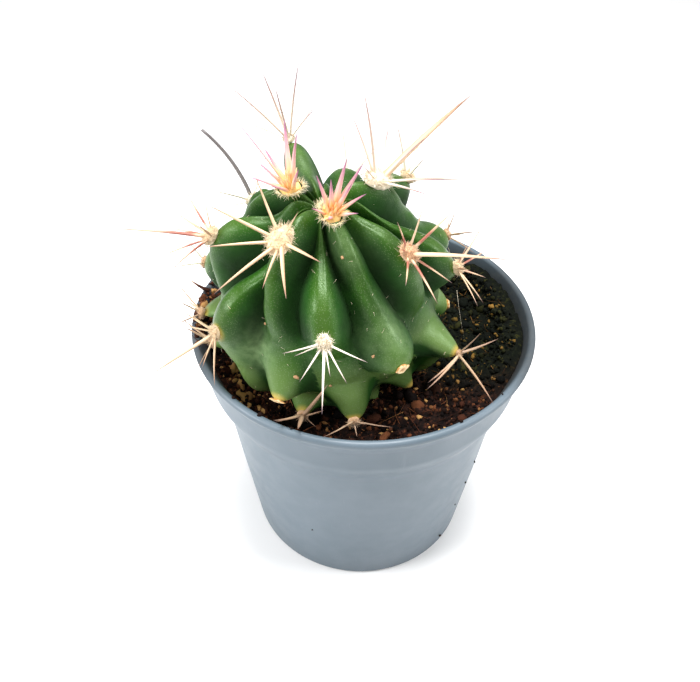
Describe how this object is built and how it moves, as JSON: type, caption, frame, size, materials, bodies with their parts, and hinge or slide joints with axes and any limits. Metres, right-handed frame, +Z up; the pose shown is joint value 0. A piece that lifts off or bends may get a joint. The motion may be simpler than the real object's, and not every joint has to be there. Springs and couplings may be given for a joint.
{
  "type": "potted barrel cactus",
  "caption": "Young ribbed barrel cactus with starred spines, leaning out of the soil in a small round plastic nursery pot.",
  "frame": {"origin": "middle of the pot's flat underside, on the surface it stands on", "axes": "+Z up along the pot's axis; the plant leans towards -Y, the side that is looked at"},
  "size_m": [0.0601, 0.0577, 0.0848],
  "materials": {
    "pot": "satin",
    "soil": "matte",
    "skin": "satin",
    "fresh_spines": "satin",
    "cream_spines": "matte",
    "old_spines": "matte"
  },
  "bodies": {
    "root": {"areole_00": "fresh_spines", "areole_01": "fresh_spines", "areole_02": "cream_spines", "areole_03": "cream_spines", "areole_04": "cream_spines", "areole_05": "cream_spines", "areole_06": "cream_spines", "areole_07": "cream_spines", "areole_08": "cream_spines", "areole_09": "cream_spines", "areole_10": "cream_spines", "areole_11": "cream_spines", "areole_12": "cream_spines", "areole_13": "old_spines", "areole_14": "old_spines", "areole_15": "old_spines", "areole_16": "old_spines", "areole_17": "old_spines", "areole_18": "old_spines", "areole_19": "old_spines", "areole_20": "old_spines", "areole_21": "old_spines", "areole_22": "old_spines", "areole_23": "old_spines", "areole_25": "old_spines", "areole_27": "old_spines", "areole_28": "old_spines", "areole_29": "old_spines", "areole_30": "old_spines", "areole_33": "old_spines", "pot": "pot", "soil": "soil", "stem": "skin"}
  },
  "joints": []
}
